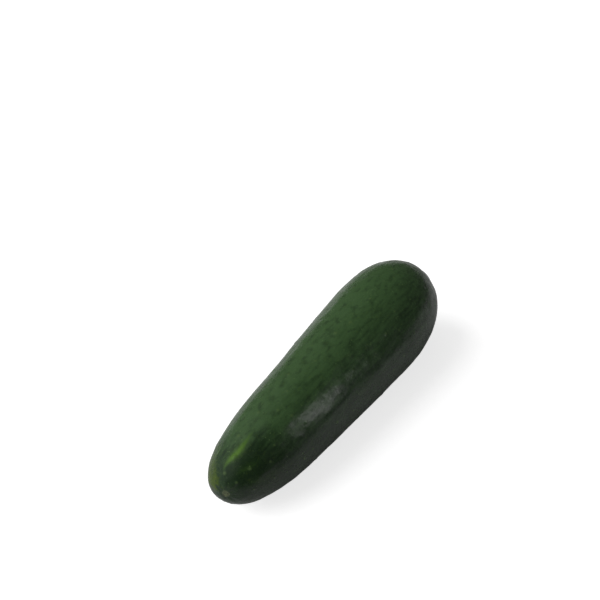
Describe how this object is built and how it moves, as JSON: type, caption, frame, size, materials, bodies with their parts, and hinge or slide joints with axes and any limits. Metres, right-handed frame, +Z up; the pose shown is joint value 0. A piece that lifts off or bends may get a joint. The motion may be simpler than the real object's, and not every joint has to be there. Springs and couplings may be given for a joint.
{
  "type": "cucumber",
  "caption": "Whole fresh slicing cucumber lying on its side: thinner blossom end with a flower scar, fuller stem end with a short cut stub.",
  "frame": {"origin": "on the surface that the fruit lies on, under the middle of its bounding box", "axes": "+X along the fruit from the blossom end to the stem end, +Z up from the surface it lies on"},
  "size_m": [0.1986, 0.0606, 0.0607],
  "materials": {
    "skin": "waxy dark green vegetable skin, satin, with pale streaks from the blossom end"
  },
  "bodies": {
    "root": {"cucumber": "skin"}
  },
  "joints": []
}
